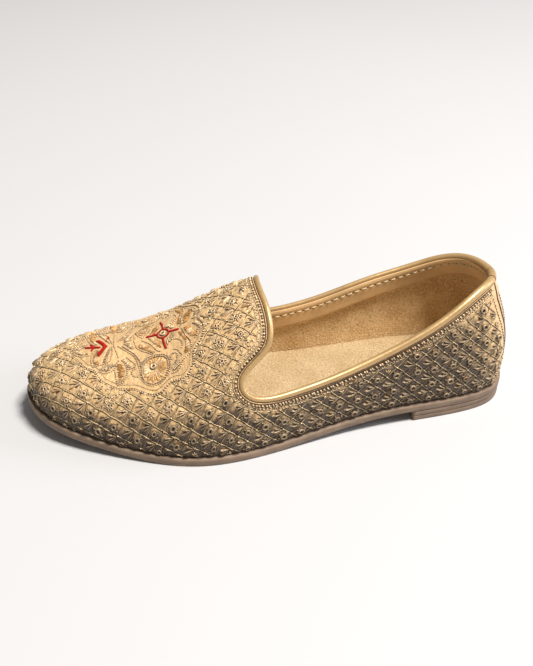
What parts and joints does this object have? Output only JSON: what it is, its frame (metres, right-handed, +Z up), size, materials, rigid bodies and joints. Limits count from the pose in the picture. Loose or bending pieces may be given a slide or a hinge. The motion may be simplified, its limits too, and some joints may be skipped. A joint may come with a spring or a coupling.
{
  "type": "slip-on shoe",
  "caption": "Left embroidered slip-on mojari shoe with a tongue-like vamp peak, rolled leather collar, low stacked heel and a hollow, last-shaped upper open at the collar.",
  "frame": {"origin": "middle of the heel tread, on the floor", "axes": "+Y toward the toe, +X toward the inner side of the foot (the wearer's right), +Z up"},
  "size_m": [0.1082, 0.285, 0.0807],
  "materials": {
    "embroidered_fabric": "gold satin with raised corded embroidery",
    "gold_piping_leather": "smooth metallic gold",
    "facing_leather": "plain matt",
    "insole_plush": "short golden pile",
    "sole_leather": "raw edge, lightly buffed"
  },
  "bodies": {
    "root": {"upper": "embroidered_fabric", "collar_piping": "gold_piping_leather", "collar_facing": "facing_leather", "insole": "insole_plush", "outsole": "sole_leather", "heel_lift_1": "sole_leather", "heel_lift_2": "sole_leather"}
  },
  "joints": []
}
